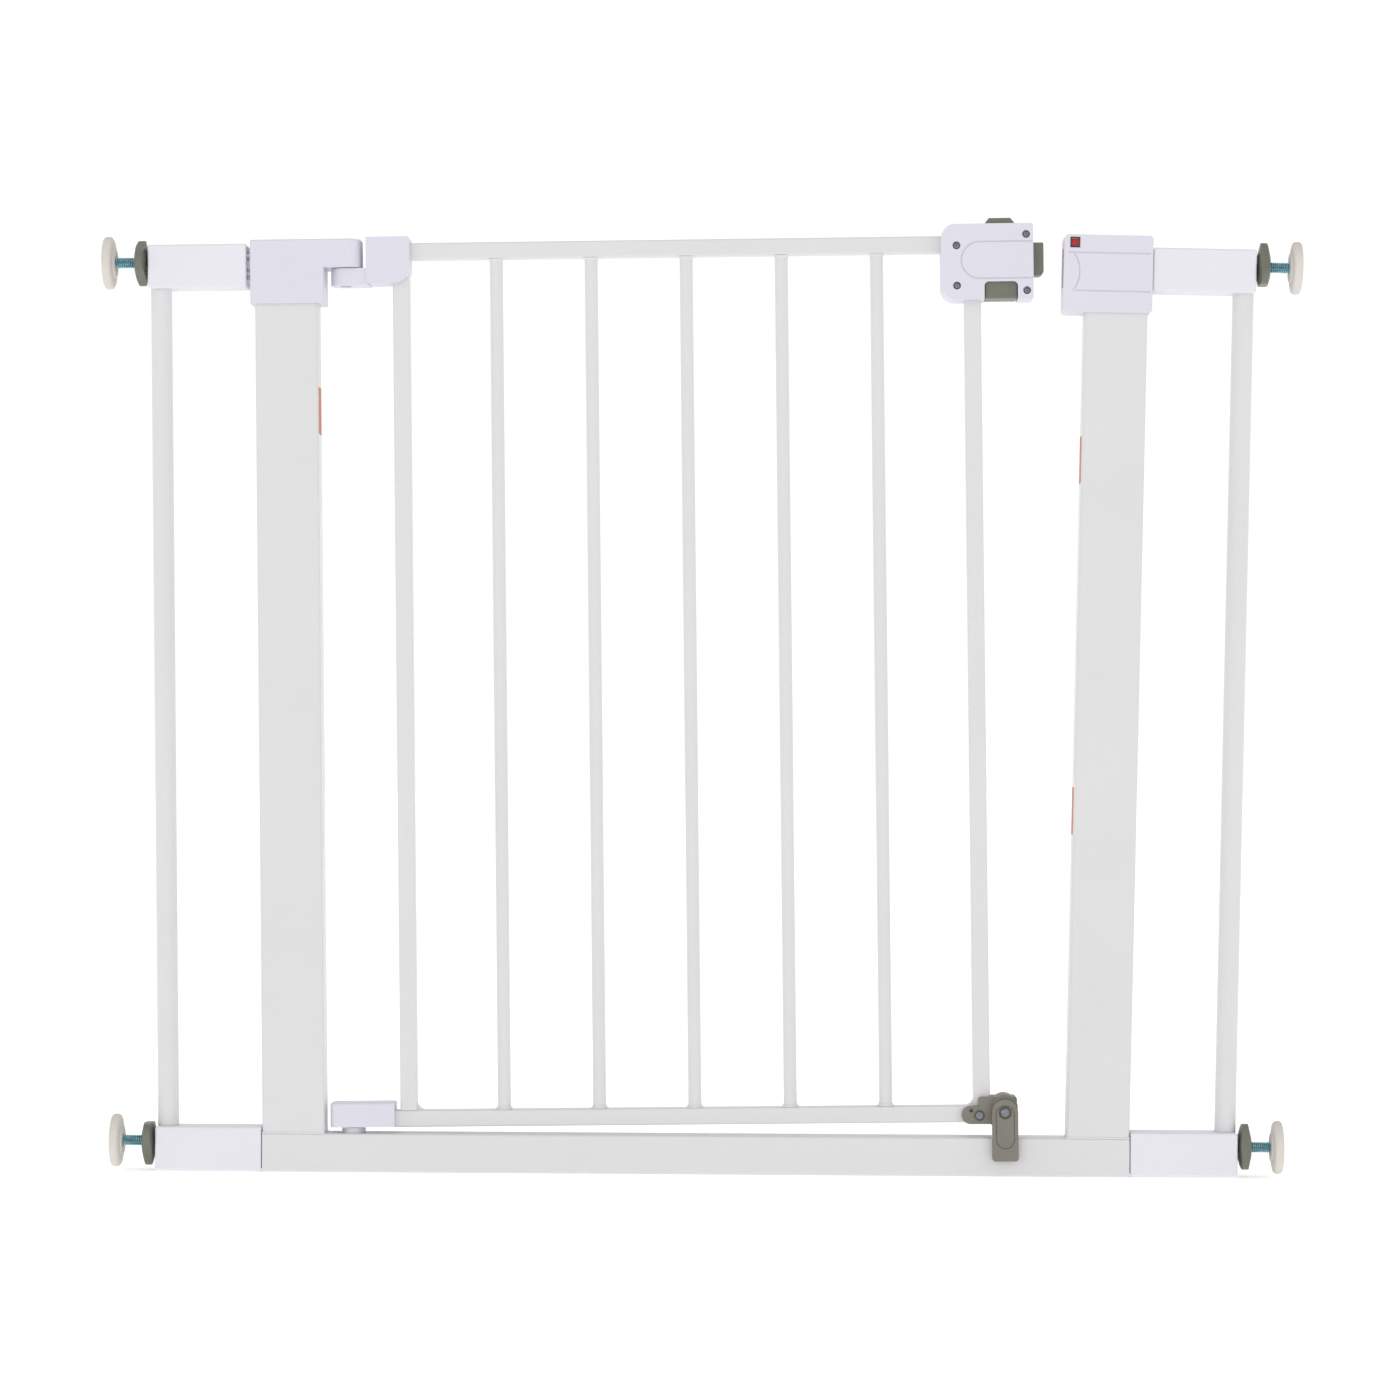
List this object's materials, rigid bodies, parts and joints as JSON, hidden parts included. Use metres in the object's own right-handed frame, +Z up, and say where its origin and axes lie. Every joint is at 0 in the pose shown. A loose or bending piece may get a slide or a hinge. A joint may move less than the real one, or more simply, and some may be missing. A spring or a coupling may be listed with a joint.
{
  "type": "pressure-fitted safety gate",
  "caption": "White barred safety gate that presses between two walls, with a swinging door, a push-up latch and hand-wheel wall pads.",
  "frame": {"origin": "middle of the gate at floor level, under the base bar", "axes": "+X along the gate from the hinge side to the latch side, +Y through the gate away from the side the door opens to, +Z up"},
  "size_m": [0.9123, 0.04, 0.7257],
  "materials": {
    "white_steel": "satin",
    "white_plastic": "satin",
    "latch_grey": "satin",
    "warm_grey": "satin",
    "zinc": "zinc plated",
    "bright_steel": "zinc plated",
    "pad_rubber": "matte",
    "flag_red": "gloss"
  },
  "bodies": {
    "base": {"base_bar": "white_steel", "lower_hinge_pin": "bright_steel", "lower_hinge_washer": "white_plastic", "lower_arm_left": "white_plastic", "lower_arm_right": "white_plastic"},
    "left_frame": {"left_post": "white_steel", "hinge_cap": "white_plastic", "upper_hinge_pin": "bright_steel", "upper_arm_left": "white_plastic", "side_tube_left": "white_steel"},
    "right_frame": {"right_post": "white_steel", "catch_shell_front": "white_plastic", "catch_shell_rear": "white_plastic", "catch_screws": "bright_steel", "strike_plate": "bright_steel", "indicator_spring": "bright_steel", "upper_arm_right": "white_plastic", "side_tube_right": "white_steel"},
    "door": {"hinge_stile": "white_steel", "latch_stile": "white_steel", "top_rail": "white_steel", "bottom_rail": "white_steel", "bar_1": "white_steel", "bar_2": "white_steel", "bar_3": "white_steel", "bar_4": "white_steel", "bar_5": "white_steel", "hinge_block": "white_plastic", "lower_hinge_cap": "white_plastic", "latch_shell_front": "white_plastic", "latch_shell_rear": "white_plastic", "latch_screws": "bright_steel", "stop_bracket": "warm_grey", "stop_bracket_screw": "bright_steel"},
    "bolt": {"latch_bolt": "latch_grey"},
    "trigger": {"latch_trigger": "latch_grey", "trigger_spring": "bright_steel"},
    "slider": {"thumb_slider": "latch_grey"},
    "stop": {"stop_tab": "warm_grey", "stop_tab_screw": "bright_steel"},
    "flag": {"indicator_flag": "flag_red"},
    "lower_left_spindle": {"lower_spindle_left": "zinc", "lower_pad_left": "pad_rubber"},
    "lower_left_wheel": {"lower_wheel_left": "latch_grey"},
    "lower_right_spindle": {"lower_spindle_right": "zinc", "lower_pad_right": "pad_rubber"},
    "lower_right_wheel": {"lower_wheel_right": "latch_grey"},
    "upper_left_spindle": {"upper_spindle_left": "zinc", "upper_pad_left": "pad_rubber"},
    "upper_left_wheel": {"upper_wheel_left": "latch_grey"},
    "upper_right_spindle": {"upper_spindle_right": "zinc", "upper_pad_right": "pad_rubber"},
    "upper_right_wheel": {"upper_wheel_right": "latch_grey"}
  },
  "joints": [
    {"name": "left_post_flex", "type": "hinge", "parent": "base", "child": "left_frame", "pos_m": [-0.26, 0, 0.029], "axis": [0, 1, 0], "range_deg": [0, 0.82], "stiffness_Nm_per_rad": 4000, "springref_deg": -0.17},
    {"name": "right_post_flex", "type": "hinge", "parent": "base", "child": "right_frame", "pos_m": [0.281, 0, 0.029], "axis": [0, -1, 0], "range_deg": [0, 1.03], "stiffness_Nm_per_rad": 4000, "springref_deg": -0.17},
    {"name": "door_swing", "type": "hinge", "parent": "left_frame", "child": "door", "pos_m": [-0.26976, 0, 0.68683], "axis": [0.0148, 0, -0.9999], "range_deg": [0, 90]},
    {"name": "trigger_push", "type": "slide", "parent": "door", "child": "trigger", "axis": [-0.0148, 0, 0.9999], "range_m": [0, 0.005], "stiffness_N_per_m": 600, "springref_m": -0.004, "deforming": ["trigger_spring"]},
    {"name": "bolt_draw", "type": "slide", "parent": "door", "child": "bolt", "axis": [-0.9999, 0, -0.0148], "range_m": [0, 0.008]},
    {"name": "thumb_slide", "type": "slide", "parent": "door", "child": "slider", "axis": [-0.9999, 0, -0.0148], "range_m": [0, 0.0045], "stiffness_N_per_m": 300, "springref_m": -0.003},
    {"name": "stop_flip", "type": "hinge", "parent": "door", "child": "stop", "pos_m": [0.23427, 0, 0.04843], "axis": [0, -1, 0], "range_deg": [0, 180]},
    {"name": "flag_push", "type": "slide", "parent": "right_frame", "child": "flag", "axis": [0.9998, 0, -0.0192], "range_m": [0, 0.004], "stiffness_N_per_m": 300, "springref_m": -0.003},
    {"name": "lower_left_spindle_slide", "type": "slide", "parent": "base", "child": "lower_left_spindle", "axis": [-1, 0, 0], "range_m": [-0.012, 0.026]},
    {"name": "lower_left_wheel_turn", "type": "hinge", "parent": "base", "child": "lower_left_wheel", "pos_m": [-0.4166, 0, 0.0219], "axis": [-1, 0, 0], "range_deg": [-2881, 6241]},
    {"name": "lower_right_spindle_slide", "type": "slide", "parent": "base", "child": "lower_right_spindle", "axis": [1, 0, 0], "range_m": [-0.012, 0.026]},
    {"name": "lower_right_wheel_turn", "type": "hinge", "parent": "base", "child": "lower_right_wheel", "pos_m": [0.4166, 0, 0.0219], "axis": [1, 0, 0], "range_deg": [-2881, 6241]},
    {"name": "upper_left_spindle_slide", "type": "slide", "parent": "left_frame", "child": "upper_left_spindle", "axis": [-0.9999, 0, -0.0148], "range_m": [-0.012, 0.026]},
    {"name": "upper_left_wheel_turn", "type": "hinge", "parent": "left_frame", "child": "upper_left_wheel", "pos_m": [-0.42645, 0, 0.6919], "axis": [-0.9999, 0, -0.0148], "range_deg": [-2881, 6241]},
    {"name": "upper_right_spindle_slide", "type": "slide", "parent": "right_frame", "child": "upper_right_spindle", "axis": [0.9998, 0, -0.0192], "range_m": [-0.012, 0.026]},
    {"name": "upper_right_wheel_turn", "type": "hinge", "parent": "right_frame", "child": "upper_right_wheel", "pos_m": [0.42931, 0, 0.68968], "axis": [0.9998, 0, -0.0192], "range_deg": [-2881, 6241]}
  ],
  "couplings": [
    {"joint": "bolt_draw", "follows": "trigger_push", "ratio": 1.6},
    {"joint": "lower_left_wheel_turn", "follows": "lower_left_spindle_slide", "rad_per_m": 4188.8},
    {"joint": "lower_right_wheel_turn", "follows": "lower_right_spindle_slide", "rad_per_m": 4188.8},
    {"joint": "upper_left_wheel_turn", "follows": "upper_left_spindle_slide", "rad_per_m": 4188.8},
    {"joint": "upper_right_wheel_turn", "follows": "upper_right_spindle_slide", "rad_per_m": 4188.8}
  ]
}
